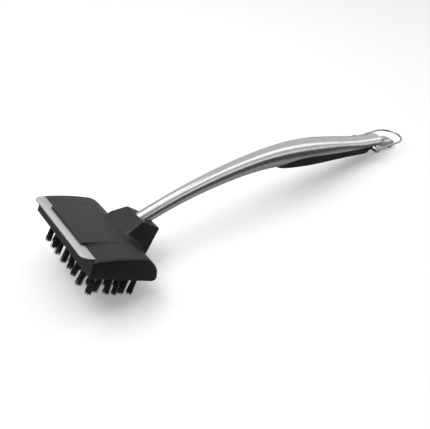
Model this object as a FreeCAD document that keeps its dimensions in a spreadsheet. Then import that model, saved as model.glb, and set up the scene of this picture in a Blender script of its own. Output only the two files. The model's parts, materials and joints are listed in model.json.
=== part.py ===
import FreeCAD, Part
import math
import os

import Sketcher

# A grill cleaning brush: a moulded head with six rows of bristle tufts and a
# steel scraper blade, a bent and tapered steel tube handle with a rubber grip
# let into its underside, and a wire hanging ring that swings on a cross pin.
#
# Frames used while building, all in millimetres:
#   head frame    x back from the front of the rim, y across, z up from the rim
#   handle frame  starts where the tube leaves the neck, x towards the tail
#   tail frame    starts at the middle of the tube's end, x along its axis
# At the end everything is set down together on the rear tufts and the tail.

Vector = FreeCAD.Vector
ACROSS = Vector(0, 1, 0)

SIZES = [
    # head shell
    ("head_width", 112.0, "rim, side to side"),
    ("head_depth", 72.0, "rim, front to back"),
    ("front_height", 15.6, "rim to blade seat"),
    ("seat_depth", 1.2, "front edge of the rim to the step behind the blade"),
    ("front_lean", 1.8, "how far the front face leans forward"),
    ("crown_height", 22.2, "rim to the highest line of the top"),
    ("crown_reach", 48.0, "front of the rim to the highest line"),
    ("crown_radius", 217.0, "curve of the top"),
    ("rear_radius", 31.5, "curve of the rear shoulder"),
    ("rim_lip", 1.0, "upright edge at the back of the rim"),
    ("edge_round", 3.0, "rounding of the long top edges"),
    ("panel_width", 62.0, "raised centre panel"),
    ("panel_front", 2.9, "how far the panel reaches over the blade"),
    ("panel_rise", 1.7, "panel edge above the blade"),
    ("panel_back", 33.0, "where the panel runs into the top"),
    ("neck_exit_x", 73.2, "where the tube leaves the neck"),
    ("neck_exit_z", 34.8, "and how high"),
    ("head_angle", 44.3, "tube to rim plane, degrees"),
    ("facet_tilt", 11.7, "slope of the neck's end face, degrees"),
    ("facet_length", 23.7, "end face, front to back"),
    ("facet_width", 29.3, "end face, across"),
    ("neck_root_z", 6.0, "height of the widest neck section"),
    ("neck_root_front", 24.0, "front of the widest neck section"),
    ("neck_root_back", 3.0, "its back edge, ahead of the rim's back"),
    ("neck_root_width", 58.0, "its width"),
    ("recess_wall", 2.6, "side and front walls at the rim"),
    ("recess_rear_wall", 7.5, "rear wall at the rim"),
    ("recess_depth", 8.0, "depth of the block recess"),
    ("hollow_depth", 5.0, "weight-saving hollows above the block"),
    ("hollow_inner", 33.0, "inner side of each hollow"),
    ("hollow_margin", 5.0, "recess edge to hollow edge"),
    # bristle block and tufts
    ("block_gap", 0.25, "clearance round the block"),
    ("block_set_back", 0.6, "block face inside the rim"),
    ("tuft_diameter", 4.6, "one tuft"),
    ("tuft_spread", 0.5, "growth in diameter towards the tips"),
    ("tuft_reach", 23.2, "tips below the rim plane"),
    ("tuft_hole_depth", 5.2, "bristle hole"),
    ("tuft_fit", 0.1, "hole wider than the tuft, per side"),
    ("first_row_margin", 10.9, "recess front to the first row"),
    ("last_row_margin", 6.2, "last row to the recess back"),
    ("side_margin", 12.0, "outer tufts to the recess side"),
    ("anchor_height", 1.6, "flat wire anchor over each tuft"),
    ("anchor_thickness", 0.5, "flat wire anchor"),
    ("block_screw_radius", 1.5, "four block screws"),
    ("block_screw_length", 11.0, "under the head"),
    # scraper blade
    ("blade_width", 103.6, "ear to ear"),
    ("blade_thickness", 1.2, "steel"),
    ("blade_reach", 10.7, "edge ahead of the rim's front"),
    ("blade_lip", 4.0, "bent front lip"),
    ("blade_lip_drop", 0.8, "how far the lip bends down"),
    ("blade_tongue_width", 57.0, "tongue held under the panel"),
    ("blade_tongue_depth", 14.0, "back of the tongue from the rim's front"),
    ("blade_corner", 7.0, "corner rounding"),
    ("blade_gap", 0.15, "slot clearance above and below"),
    ("blade_screw_x", 8.0, "screws behind the rim's front"),
    ("blade_screw_pitch", 20.0, "between blade screws"),
    ("blade_screw_radius", 1.5, "three blade screws"),
    # handle tube
    ("handle_length", 329.0, "neck to tube end along the middle line"),
    ("socket_depth", 26.0, "tube inside the neck"),
    ("socket_gap", 0.15, "tube in socket, per side"),
    ("tube_wall", 1.2, "steel"),
    ("neck_rise", 13.2, "middle line at the neck, degrees up"),
    ("arch_radius", 512.0, "long upper arch"),
    ("bend_radius", 370.0, "bend into the grip"),
    ("grip_fall", 14.5, "slope along the grip, degrees down"),
    ("tail_radius", 570.0, "return curve at the tail"),
    ("tail_fall", 10.0, "slope at the tube end, degrees down"),
    ("neck_width", 14.0, "tube at the neck"),
    ("neck_height", 14.0, "tube at the neck, upright"),
    ("shank_width", 14.6, "tube behind the neck"),
    ("shank_height", 14.6, "tube behind the neck, upright"),
    ("middle_width", 16.9, "tube at a quarter of its length"),
    ("middle_height", 16.9, "the same, upright"),
    ("fore_width", 19.8, "tube ahead of the grip"),
    ("fore_height", 19.8, "the same, upright"),
    ("swell_width", 23.6, "where the grip starts"),
    ("swell_height", 23.4, "the same, upright"),
    ("palm_width", 28.5, "widest part of the grip"),
    ("palm_height", 27.0, "the same, upright"),
    ("waist_width", 26.0, "behind the palm"),
    ("waist_height", 22.8, "the same, upright"),
    ("tail_width", 24.2, "tube end"),
    ("tail_height", 20.8, "the same, upright"),
    # neck joint
    ("plug_length", 18.0, "threaded plug in the tube"),
    ("plug_gap", 0.08, "plug in tube, per side"),
    ("handle_screw_radius", 2.5, "M5 screw"),
    ("handle_screw_grip", 5.0, "wall under its head"),
    ("handle_screw_bite", 12.0, "length inside the plug"),
    # grip
    ("grip_length", 146.0, "rubber along the middle line"),
    ("grip_end", 21.0, "rubber end to tube end"),
    ("core_gap", 0.15, "carrier in tube, per side"),
    ("core_rise", 5.0, "carrier above the parting line"),
    ("core_sink", 3.0, "carrier below the parting line"),
    # tail cap, pin and ring
    ("flange_thickness", 1.6, "cap flange"),
    ("stub_length", 7.0, "cap inside the tube"),
    ("nose_width", 16.0, "cap nose across"),
    ("nose_length", 34.0, "flange face to nose tip"),
    ("nose_slope", 12.0, "length of the slope behind the flange"),
    ("nose_top", 2.7, "flat top of the nose above the axis"),
    ("nose_root_drop", 1.5, "underside at the flange, below the axis"),
    ("nose_tip_drop", 8.8, "underside near the tip, below the axis"),
    ("nose_tip_radius", 6.5, "rounded tip, side view"),
    ("nose_round", 3.0, "rounding of the nose's long edges"),
    ("nose_edge", 1.2, "top of the nose inside the flange's edge"),
    ("cap_screw_height", 5.5, "cap screw above the axis"),
    ("cap_screw_radius", 1.5, "cap screw"),
    ("cap_screw_bite", 8.0, "cap screw inside the carrier"),
    ("pin_radius", 1.5, "cross pin"),
    ("pin_set_back", 16.0, "pin ahead of the tube end"),
    ("pin_boss_radius", 3.9, "carrier round the pin"),
    ("pin_head_radius", 2.9, "upset pin heads"),
    ("pin_head_thickness", 1.2, "upset pin heads"),
    ("wire_radius", 1.1, "ring wire"),
    ("ring_half_width", 18.0, "leg to middle, wire centres"),
    ("ring_length", 57.3, "pin to bow, wire centres"),
    ("ring_play", 0.08, "eye round the pin, per side"),
    ("side_play", 0.3, "eye to its neighbours along the pin"),
    ("ring_droop", 4.0, "ring below level at rest, degrees"),
    # fasteners and small fits
    ("screw_way", 0.1, "clearance hole wider than its screw, per side"),
    ("blade_screw_grip", 3.0, "plastic between a blade screw's head and the blade"),
    ("blade_screw_bite", 1.6, "blade screw above the blade"),
    ("block_screw_seat", 4.4, "counterbore in the block"),
    ("handle_screw_room", 9.0, "way in for the neck screw's head"),
    ("head_clearance", 0.3, "block to the neck screw's head"),
    ("cap_screw_seat", 2.4, "seat behind the flange face"),
    ("pin_fit", 0.05, "pin and plug holes, per side"),
    ("boss_gap", 0.3, "carrier boss to the tube's inside"),
    ("core_to_stub", 1.0, "carrier to the cap's stub"),
    ("pad_lead_in", 5.0, "grip opening ahead of the rubber's tip"),
    ("pad_tip_rise", 1.1, "rubber's tip above the tube's lowest line"),
]

ROWS = 6
TUFTS = 8

# Screw proportions, as shares of the shank's radius.
HEAD_WIDE = 1.9
HEAD_HIGH = 1.2
SEAT_WIDE = 2.1
SOCKET_WIDE = 0.95

# Outline stations of the tube: name and share of the handle's length.
STATIONS = [
    ("neck", 0.0),
    ("shank", 0.11),
    ("middle", 0.25),
    ("fore", 0.385),
    ("swell", 0.49),
    ("palm", 0.635),
    ("waist", 0.845),
    ("tail", 1.0),
]

# Rubber pad stations: share of the grip's length, parting line below the
# tube's middle line, and how far the rubber stands out below the steel.
PAD_STATIONS = [
    (0.055, 6.6, 3.2),
    (0.15, 2.8, 5.0),
    (0.32, 1.0, 4.7),
    (0.55, 0.4, 3.4),
    (0.78, -0.6, 1.7),
    (1.0, -2.3, 1.2),
]


class Dim:
    """A size: its value now, and the sheet expression that keeps a feature tied to it."""

    def __init__(self, value, text):
        self.value = float(value)
        self.text = text

    def _join(self, other, sign, value):
        tail = other.text if isinstance(other, Dim) else repr(float(other))
        return Dim(value, "(%s %s %s)" % (self.text, sign, tail))

    def __add__(self, other):
        return self._join(other, "+", self.value + number(other))

    def __sub__(self, other):
        return self._join(other, "-", self.value - number(other))

    def __radd__(self, other):
        return self + other

    def __rsub__(self, other):
        return Dim(other - self.value, "(%r - %s)" % (float(other), self.text))

    def __mul__(self, other):
        return self._join(other, "*", self.value * number(other))

    def __truediv__(self, other):
        return self._join(other, "/", self.value / number(other))

    def __neg__(self):
        return self * -1.0


def number(size):
    return size.value if isinstance(size, Dim) else float(size)


doc = FreeCAD.newDocument("grill_brush")


def make_sheet():
    """Fills the spreadsheet and returns every size by its alias."""
    sheet = doc.addObject("Spreadsheet::Sheet", "Sizes")
    found = {}
    for row, (alias, value, note) in enumerate(SIZES, start=1):
        sheet.set("A%d" % row, alias.replace("_", " "))
        sheet.set("B%d" % row, "%g" % value)
        sheet.set("C%d" % row, note)
        sheet.setAlias("B%d" % row, alias)
        found[alias] = Dim(value, "Sizes." + alias)
    doc.recompute()
    return found


D = make_sheet()


def val(alias):
    return D[alias].value


def bind(obj, prop, size):
    """Sets a property, through the sheet when the size comes from it."""
    if isinstance(size, Dim):
        obj.setExpression(prop, size.text)
    else:
        setattr(obj, prop, size)


# ---------------------------------------------------------------- sketches

def sketch_on(body, name, role, shift=(0, 0, 0), turn=None, axis=(0, 0, 1)):
    """A sketch on one of the body's own origin planes, moved and turned in that plane's frame."""
    sketch = body.newObject("Sketcher::SketchObject", name)
    plane = next(f for f in body.Origin.OriginFeatures if f.Role == role)
    sketch.AttachmentSupport = [(plane, "")]
    sketch.MapMode = "FlatFace"
    angle = number(turn) if turn is not None else 0.0
    spin = FreeCAD.Rotation(Vector(*axis), angle)
    sketch.AttachmentOffset = FreeCAD.Placement(Vector(*[number(s) for s in shift]), spin)
    for letter, amount in zip("xyz", shift):
        if isinstance(amount, Dim):
            sketch.setExpression("AttachmentOffset.Base." + letter, amount.text)
    if isinstance(turn, Dim):
        sketch.setExpression("AttachmentOffset.Rotation.Angle", turn.text)
    return sketch


def fix(sketch, kind, first, last, size):
    """A distance or radius constraint tied to a size."""
    index = sketch.addConstraint(Sketcher.Constraint(kind, *first, *last, abs(number(size))))
    if isinstance(size, Dim):
        label = "%s_%d" % (kind.lower(), index)
        sketch.renameConstraint(index, label)
        text = size.text if size.value > 0 else (-size).text
        sketch.setExpression("Constraints." + label, text)


def pin_point(sketch, geo, end, x, y):
    """Holds a point at x, y from the sketch's origin."""
    for kind, amount, axis in (("DistanceX", x, -2), ("DistanceY", y, -1)):
        if abs(number(amount)) < 1e-9:
            sketch.addConstraint(Sketcher.Constraint("PointOnObject", geo, end, axis))
        elif number(amount) > 0:
            fix(sketch, kind, (-1, 1), (geo, end), amount)
        else:
            fix(sketch, kind, (geo, end), (-1, 1), amount)


def bulged(start, finish, radius):
    """The arc from start to finish that bulges to the right of the way, as outside an outline."""
    way = finish.sub(start)
    half = way.Length / 2
    right = Vector(way.y, -way.x, 0).normalize()
    centre = start.add(way * 0.5).sub(right * math.sqrt(max(radius ** 2 - half ** 2, 0.0)))
    circle = Part.Circle(centre, Vector(0, 0, 1), radius)
    return Part.ArcOfCircle(circle, circle.parameter(start), circle.parameter(finish))


def outline(sketch, corners):
    """A closed anticlockwise outline. Each corner is x, y and, where the next side is an arc, its radius."""
    spots = [Vector(number(c[0]), number(c[1]), 0) for c in corners]
    for here, corner in enumerate(corners):
        start, finish = spots[here], spots[(here + 1) % len(spots)]
        if len(corner) > 2:
            sketch.addGeometry(bulged(start, finish, number(corner[2])))
        else:
            sketch.addGeometry(Part.LineSegment(start, finish))
    for here, corner in enumerate(corners):
        after = (here + 1) % len(corners)
        sketch.addConstraint(Sketcher.Constraint("Coincident", here, 2, after, 1))
    for here, corner in enumerate(corners):
        pin_point(sketch, here, 1, corner[0], corner[1])
        if len(corner) > 2:
            fix(sketch, "Radius", (here,), (), corner[2])
    return sketch


def circles(sketch, spots, radius):
    """One circle at each spot."""
    for geo, (x, y) in enumerate(spots):
        centre = Vector(number(x), number(y), 0)
        sketch.addGeometry(Part.Circle(centre, Vector(0, 0, 1), number(radius)))
        pin_point(sketch, geo, 3, x, y)
        fix(sketch, "Radius", (geo,), (), radius)
    return sketch


def box_outline(sketch, low_x, high_x, half_y):
    """A rectangle even about the sketch's x axis."""
    return outline(sketch, [(low_x, -half_y), (high_x, -half_y), (high_x, half_y), (low_x, half_y)])


# ---------------------------------------------------------------- features

def new_body(name):
    body = doc.addObject("PartDesign::Body", name)
    body.Label = name
    return body


def pad(body, sketch, length, both_ways=True):
    feature = body.newObject("PartDesign::Pad", sketch.Name + "_pad")
    feature.Profile = sketch
    feature.SideType = "Symmetric" if both_ways else "One side"
    bind(feature, "Length", length)
    doc.recompute()
    return feature


def pocket(body, sketch, length, both_ways=False):
    """Cuts upwards from the sketch, or both ways, and makes sure that something was cut."""
    before = body.Shape.Volume
    feature = body.newObject("PartDesign::Pocket", sketch.Name + "_cut")
    feature.Profile = sketch
    feature.SideType = "Symmetric" if both_ways else "One side"
    feature.Reversed = not both_ways
    bind(feature, "Length", length)
    doc.recompute()
    assert body.Shape.Volume < before - 1e-3, feature.Name + " cut nothing"
    return feature


def groove(body, sketch):
    """Turns the sketch about its own x axis, cuts that away, and makes sure that something was cut."""
    before = body.Shape.Volume
    feature = body.newObject("PartDesign::Groove", sketch.Name + "_cut")
    feature.Profile = sketch
    feature.ReferenceAxis = (sketch, ["H_Axis"])
    feature.Angle = 360
    doc.recompute()
    assert body.Shape.Volume < before - 1e-3, feature.Name + " cut nothing"
    return feature


def round_edges(body, name, radius, wanted):
    """Fillets the edges of the body's last feature that the test picks."""
    base = body.Tip
    picked = ["Edge%d" % n for n, edge in enumerate(base.Shape.Edges, start=1) if wanted(edge)]
    assert picked, name + " found no edge"
    feature = body.newObject("PartDesign::Fillet", name)
    feature.Base = (base, picked)
    bind(feature, "Radius", radius)
    doc.recompute()
    return feature


def primitive(kind, name, sizes, base=(0, 0, 0), along=Vector(0, 0, 1)):
    """A Part primitive with its sizes bound to the sheet, its own z axis turned to point along."""
    obj = doc.addObject("Part::" + kind, name)
    for prop, size in sizes.items():
        bind(obj, prop, size)
    turn = FreeCAD.Rotation(Vector(0, 0, 1), along)
    obj.Placement = FreeCAD.Placement(Vector(*[number(b) for b in base]), turn)
    for letter, amount in zip("xyz", base):
        if isinstance(amount, Dim):
            obj.setExpression("Placement.Base." + letter, amount.text)
    return obj


def cylinder(name, radius, height, base=(0, 0, 0), along=Vector(0, 0, 1)):
    return primitive("Cylinder", name, {"Radius": radius, "Height": height}, base, along)


def boolean(kind, name, base, tool):
    obj = doc.addObject("Part::" + kind, name)
    obj.Base = base
    obj.Tool = tool
    obj.Refine = False
    return obj


def joined(name, pieces, kind="MultiFuse"):
    """Fuses the pieces into one solid, or groups them as separate solids."""
    obj = doc.addObject("Part::" + kind, name)
    if kind == "MultiFuse":
        obj.Shapes = pieces
        obj.Refine = False
    else:
        obj.Links = pieces
    return obj


def group(name, pieces):
    return joined(name, pieces, "Compound")


def screw(name, radius, length, at, along):
    """A pan-head screw with a hexagon socket. at is under the head, along points to the tip."""
    head_radius = radius * HEAD_WIDE
    head_height = radius * HEAD_HIGH
    back = [a - head_height * c if c else a for a, c in zip(at, along)]
    shank = cylinder(name + "_shank", radius, length, at, along)
    head = cylinder(name + "_head", head_radius, head_height, back, along)
    socket = primitive("Prism", name + "_socket",
                       {"Circumradius": radius * SOCKET_WIDE, "Height": head_height * 0.6}, back, along)
    return boolean("Cut", name, joined(name + "_blank", [head, shank]), socket)


# ---------------------------------------------------------------- shared places

SEAT_TOP = D["front_height"] + D["blade_thickness"] + D["blade_gap"]
RECESS_BACK = D["head_depth"] - D["recess_rear_wall"]
RECESS_HALF = D["head_width"] / 2 - D["recess_wall"]
FIRST_ROW = D["recess_wall"] + D["first_row_margin"]
LAST_ROW = RECESS_BACK - D["last_row_margin"]
ROW_PITCH = (LAST_ROW - FIRST_ROW) / (ROWS - 1)
OUTER_TUFT = RECESS_HALF - D["side_margin"]
TUFT_PITCH = OUTER_TUFT * 2 / (TUFTS - 1)
HOLE_RADIUS = D["tuft_diameter"] / 2 + D["tuft_fit"]
TUFT_TOP = D["block_set_back"] + D["tuft_hole_depth"] - D["anchor_height"]
BLOCK_TOP = D["recess_depth"] - D["block_gap"]
BLOCK_SCREWS = [(x, TUFT_PITCH * side)
                for x in (FIRST_ROW + ROW_PITCH / 2, LAST_ROW - ROW_PITCH / 2) for side in (-2, 2)]
BLADE_SCREWS = [(D["blade_screw_x"], D["blade_screw_pitch"] * side) for side in (-1, 0, 1)]
SOCKET_RADIUS = D[max("neck_width", "neck_height", key=val)] / 2 + D["socket_gap"]


def row_x(row):
    return FIRST_ROW + ROW_PITCH * row


def tuft_y(column):
    return TUFT_PITCH * (column - (TUFTS - 1) / 2)


# ---------------------------------------------------------------- head

def make_head_shell():
    """The moulded shell: crowned top, raised panel, neck, recess, tube socket and screw holes."""
    body = new_body("head_shell")
    rim_back = D["head_depth"]
    side = outline(sketch_on(body, "shell_side", "XZ_Plane"), [
        (0, 0), (rim_back, 0), (rim_back, D["rim_lip"], D["rear_radius"]),
        (D["crown_reach"], D["crown_height"], D["crown_radius"]),
        (D["seat_depth"], SEAT_TOP), (D["seat_depth"], D["front_height"]),
        (-D["front_lean"], D["front_height"])])
    pad(body, side, D["head_width"])
    edge_of_top = val("head_width") / 2

    def is_top_edge(edge):
        middle = edge.valueAt(sum(edge.ParameterRange) / 2)
        return abs(abs(middle.y) - edge_of_top) < 1e-4 and edge.Curve.TypeId == "Part::GeomCircle"

    round_edges(body, "shell_rounding", D["edge_round"], is_top_edge)

    panel_top = SEAT_TOP + D["panel_rise"]
    panel = outline(sketch_on(body, "centre_panel", "XZ_Plane"), [
        (-D["panel_front"], SEAT_TOP), (D["seat_depth"], SEAT_TOP),
        (D["seat_depth"], D["front_height"]), (D["panel_back"], D["front_height"]),
        (D["panel_back"], D["crown_height"], D["crown_radius"]), (-D["panel_front"], panel_top)])
    pad(body, panel, D["panel_width"])

    neck_root = box_outline(
        sketch_on(body, "neck_root", "XY_Plane", (0, 0, D["neck_root_z"])),
        D["neck_root_front"], rim_back - D["neck_root_back"], D["neck_root_width"] / 2)
    half_facet = D["facet_length"] / 2
    neck_face = box_outline(
        sketch_on(body, "neck_face", "XY_Plane", (D["neck_exit_x"], 0, D["neck_exit_z"]),
                  D["facet_tilt"], (0, 1, 0)),
        -half_facet, half_facet, D["facet_width"] / 2)
    loft = body.newObject("PartDesign::AdditiveLoft", "neck")
    loft.Profile = neck_root
    loft.Sections = [neck_face]
    loft.Ruled = True
    doc.recompute()

    recess = box_outline(sketch_on(body, "recess", "XY_Plane"),
                         D["recess_wall"], RECESS_BACK, RECESS_HALF)
    pocket(body, recess, D["recess_depth"])
    hollow_low = D["recess_wall"] + D["hollow_margin"]
    hollow_high = D["crown_reach"] + D["hollow_margin"]
    for name, sign in (("near", -1), ("far", 1)):
        inner = D["hollow_inner"] * sign
        outer = (RECESS_HALF - D["hollow_margin"]) * sign
        low_y, high_y = (outer, inner) if sign < 0 else (inner, outer)
        hollow = outline(sketch_on(body, "hollow_" + name, "XY_Plane"), [
            (hollow_low, low_y), (hollow_high, low_y), (hollow_high, high_y), (hollow_low, high_y)])
        pocket(body, hollow, D["recess_depth"] + D["hollow_depth"])

    slot_depth = D["blade_tongue_depth"] + D["blade_gap"]
    slot = outline(sketch_on(body, "blade_slot", "XZ_Plane"), [
        (0, D["front_height"]), (slot_depth, D["front_height"]), (slot_depth, SEAT_TOP), (0, SEAT_TOP)])
    pocket(body, slot, D["blade_tongue_width"] + D["blade_gap"] * 2, both_ways=True)
    blade_screw_radius = D["blade_screw_radius"]
    for name, radius, height in (
            ("blade_screw_seats", blade_screw_radius * SEAT_WIDE, D["front_height"] - D["blade_screw_grip"]),
            ("blade_screw_ways", blade_screw_radius + D["screw_way"], D["front_height"] + 0.1),
            ("blade_screw_pilots", blade_screw_radius, SEAT_TOP + D["blade_screw_bite"])):
        holes = circles(sketch_on(body, name, "XY_Plane"), BLADE_SCREWS, radius)
        pocket(body, holes, height)
    holes = circles(sketch_on(body, "block_screw_pilots", "XY_Plane"), BLOCK_SCREWS,
                    D["block_screw_radius"])
    pocket(body, holes, D["block_screw_seat"] + D["block_screw_length"])

    socket = sketch_on(body, "tube_socket", "XZ_Plane", (D["neck_exit_x"], D["neck_exit_z"], 0),
                       D["head_angle"])
    wall_end = D["socket_depth"] + D["handle_screw_grip"]
    way = D["handle_screw_radius"] + D["screw_way"]
    seat = D["handle_screw_radius"] * SEAT_WIDE
    outline(socket, [
        (-(wall_end + D["handle_screw_room"]), 0), (D["socket_depth"], 0), (D["socket_depth"], SOCKET_RADIUS),
        (-D["socket_depth"], SOCKET_RADIUS), (-D["socket_depth"], way),
        (-wall_end, way), (-wall_end, seat), (-(wall_end + D["handle_screw_room"]), seat)])
    groove(body, socket)
    return body


def make_bristle_block():
    """The plate that carries the tufts, with its blind bristle holes and four screw seats."""
    body = new_body("bristle_block")
    low = D["recess_wall"] + D["block_gap"]
    high = RECESS_BACK - D["block_gap"]
    face = sketch_on(body, "block_face", "XY_Plane", (0, 0, D["block_set_back"]))
    pad(body, box_outline(face, low, high, RECESS_HALF - D["block_gap"]),
        BLOCK_TOP - D["block_set_back"], both_ways=False)
    holes = circles(sketch_on(body, "bristle_hole", "XY_Plane"), [(row_x(0), tuft_y(0))], HOLE_RADIUS)
    first = pocket(body, holes, D["block_set_back"] + D["tuft_hole_depth"])
    field = body.newObject("PartDesign::MultiTransform", "bristle_holes")
    field.Originals = [first]
    runs = []
    for name, axis, length, count in (
            ("rows", "H_Axis", ROW_PITCH * (ROWS - 1), ROWS),
            ("columns", "V_Axis", TUFT_PITCH * (TUFTS - 1), TUFTS)):
        run = body.newObject("PartDesign::LinearPattern", "bristle_" + name)
        run.Direction = (holes, [axis])
        run.setExpression("Length", length.text)
        run.Occurrences = count
        runs.append(run)
    field.Transformations = runs
    body.Tip = field
    doc.recompute()
    ways = circles(sketch_on(body, "block_screw_ways", "XY_Plane"), BLOCK_SCREWS,
                   D["block_screw_radius"] + D["screw_way"])
    pocket(body, ways, D["recess_depth"])
    seats = circles(sketch_on(body, "block_screw_seats", "XY_Plane"), BLOCK_SCREWS,
                    D["block_screw_radius"] * SEAT_WIDE)
    pocket(body, seats, D["block_screw_seat"])
    room = sketch_on(body, "neck_screw_room", "XZ_Plane", (D["neck_exit_x"], D["neck_exit_z"], 0),
                     D["head_angle"])
    under_head = D["socket_depth"] + D["handle_screw_grip"]
    behind_head = under_head + D["handle_screw_radius"] * HEAD_HIGH + D["head_clearance"]
    reach = D["handle_screw_radius"] * HEAD_WIDE + D["head_clearance"]
    outline(room, [(-behind_head, 0), (-under_head, 0), (-under_head, reach), (-behind_head, reach)])
    groove(body, room)
    return body


def make_tufts():
    """Six rows of tufts, each row a group of separate tufts, and the flat wire that anchors each one."""
    root = D["tuft_diameter"] / 2
    tip = root + D["tuft_spread"] / 2
    rows = []
    anchors = []
    for row in range(ROWS):
        tufts = []
        for column in range(TUFTS):
            spot = "%d_%d" % (row + 1, column + 1)
            x, y = row_x(row), tuft_y(column)
            tufts.append(primitive(
                "Cone", "tuft_" + spot,
                {"Radius1": tip, "Radius2": root, "Height": TUFT_TOP + D["tuft_reach"]},
                (x, y, -D["tuft_reach"])))
            length = D["tuft_diameter"] - D["tuft_fit"] * 2
            anchors.append(primitive(
                "Box", "anchor_" + spot,
                {"Length": D["anchor_thickness"], "Width": length, "Height": D["anchor_height"]},
                (x - D["anchor_thickness"] / 2, y - length / 2, TUFT_TOP)))
        rows.append(group("tuft_row_%d" % (row + 1), tufts))
    return rows + [group("tuft_anchors", anchors)]


def make_scraper_blade():
    """The stainless scraper: a full-width strip with a bent lip, and a screwed tongue behind it."""
    body = new_body("scraper_blade")
    under = D["front_height"]
    top = under + D["blade_thickness"]
    lip = -D["blade_reach"] + D["blade_lip"]
    drop = D["blade_lip_drop"]
    strip_back = D["seat_depth"] - D["blade_gap"] * 2
    profile = outline(sketch_on(body, "blade_profile", "XZ_Plane"), [
        (-D["blade_reach"], under - drop), (lip, under), (strip_back, under),
        (strip_back, top), (lip, top), (-D["blade_reach"], top - drop)])
    pad(body, profile, D["blade_width"])
    tongue = box_outline(sketch_on(body, "blade_tongue", "XY_Plane", (0, 0, under)),
                         0, D["blade_tongue_depth"], D["blade_tongue_width"] / 2)
    pad(body, tongue, D["blade_thickness"], both_ways=False)
    holes = circles(sketch_on(body, "blade_holes", "XY_Plane"), BLADE_SCREWS,
                    D["blade_screw_radius"] + D["screw_way"])
    pocket(body, holes, top + 1)
    front = -val("blade_reach")

    def is_corner(edge):
        ends = [v.Point for v in edge.Vertexes]
        return (len(ends) == 2 and abs(ends[0].x - front) < 1e-4 and abs(ends[1].x - front) < 1e-4
                and abs(ends[0].y - ends[1].y) < 1e-4)

    round_edges(body, "blade_corners", D["blade_corner"], is_corner)
    return body


def make_head_screws():
    """Three screws up through the blade's tongue and four through the block."""
    up = Vector(0, 0, 1)
    blade_length = D["blade_screw_grip"] + D["blade_thickness"] + D["blade_screw_bite"]
    blade = [screw("blade_screw_%d" % n, D["blade_screw_radius"], blade_length,
                   (x, y, D["front_height"] - D["blade_screw_grip"]), up)
             for n, (x, y) in enumerate(BLADE_SCREWS, start=1)]
    block = [screw("block_screw_%d" % n, D["block_screw_radius"], D["block_screw_length"],
                   (x, y, D["block_screw_seat"]), up)
             for n, (x, y) in enumerate(BLOCK_SCREWS, start=1)]
    return [group("blade_screws", blade), group("block_screws", block)]


# ---------------------------------------------------------------- handle's middle line

def middle_line(along):
    """Place and slope (degrees up) of the handle's middle line, at a distance from the neck."""
    rise, fall, tail = (math.radians(val(a)) for a in ("neck_rise", "grip_fall", "tail_fall"))
    arch = val("arch_radius") * rise
    bend = val("bend_radius") * fall
    back = val("tail_radius") * (fall - tail)
    straight = val("handle_length") - arch - bend - back
    if along < 0:
        return along * math.cos(rise), along * math.sin(rise), math.degrees(rise)
    x = z = 0.0
    slope = rise
    for length, radius in ((arch, -val("arch_radius")), (bend, -val("bend_radius")),
                           (straight, 0.0), (back, val("tail_radius"))):
        step = min(along, length)
        if radius:
            turned = slope + step / radius
            x += radius * (math.sin(turned) - math.sin(slope))
            z -= radius * (math.cos(turned) - math.cos(slope))
            slope = turned
        else:
            x += step * math.cos(slope)
            z += step * math.sin(slope)
        along -= step
        if along <= 0:
            break
    x += along * math.cos(slope)
    z += along * math.sin(slope)
    return x, z, math.degrees(slope)


def frame_at(along, raised=0.0):
    """A frame on the middle line: x along the tube, y across, z square to both."""
    x, z, slope = middle_line(along)
    turn = FreeCAD.Rotation(ACROSS, -slope)
    return FreeCAD.Placement(Vector(x, 0, z) + turn.multVec(Vector(0, 0, raised)), turn)


def tube_size(along):
    """Half width and half height of the tube between its stations."""
    share = along / val("handle_length")
    for (before, low), (after, high) in zip(STATIONS, STATIONS[1:]):
        if share <= high:
            break
    blend = min(max((share - low) / (high - low), 0.0), 1.0)
    return [(val(before + part) * (1 - blend) + val(after + part) * blend) / 2
            for part in ("_width", "_height")]


# Sections stand square to the middle line: the ellipse's own x axis lies across the
# tube, or up it where the section is taller than it is wide.
WIDE_SECTION = FreeCAD.Rotation(ACROSS, Vector(0, 0, 1), Vector(1, 0, 0), "XYZ")
TALL_SECTION = FreeCAD.Rotation(Vector(0, 0, 1), -ACROSS, Vector(1, 0, 0), "XYZ")


def tube_loft(name, inset, overrun):
    """A solid along the whole tube, its skin inset from the tube's outside, longer by overrun."""
    length = val("handle_length")
    spots = [(-val("socket_depth") - overrun, "neck"), (-val("socket_depth") / 2, "neck")]
    spots += [(share * length, station) for station, share in STATIONS[:-1]]
    spots.append((length + overrun, STATIONS[-1][0]))
    sections = []
    for order, (along, station) in enumerate(spots):
        ring = doc.addObject("Part::Ellipse", "%s_section_%d" % (name, order))
        bind(ring, "MajorRadius", D[station + "_width"] / 2 - inset)
        bind(ring, "MinorRadius", D[station + "_height"] / 2 - inset)
        ring.Placement = frame_at(along).multiply(FreeCAD.Placement(Vector(), WIDE_SECTION))
        sections.append(ring)
    loft = doc.addObject("Part::Loft", name)
    loft.Sections = sections
    loft.Solid = True
    return loft


# ---------------------------------------------------------------- grip

def grip_start():
    return val("handle_length") - val("grip_end") - val("grip_length")


def parting_stations():
    """Distance along, drop of the parting line and stand-out of the rubber, the tip first."""
    start = grip_start()
    half_height = tube_size(start)[1]
    stations = [(start, half_height - val("pad_tip_rise"), 0.0)]
    for share, drop, stand_out in PAD_STATIONS:
        stations.append((start + share * val("grip_length"), drop, stand_out))
    return stations


def drop_line(stations):
    """The curve, or the straight line of two stations, that runs at each drop below the middle line."""
    spots = [frame_at(along, -drop).Base for along, drop in stations]
    if len(spots) == 2:
        return Part.makeLine(*spots)
    curve = Part.BSplineCurve()
    curve.interpolate(spots)
    return curve.toShape()


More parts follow.
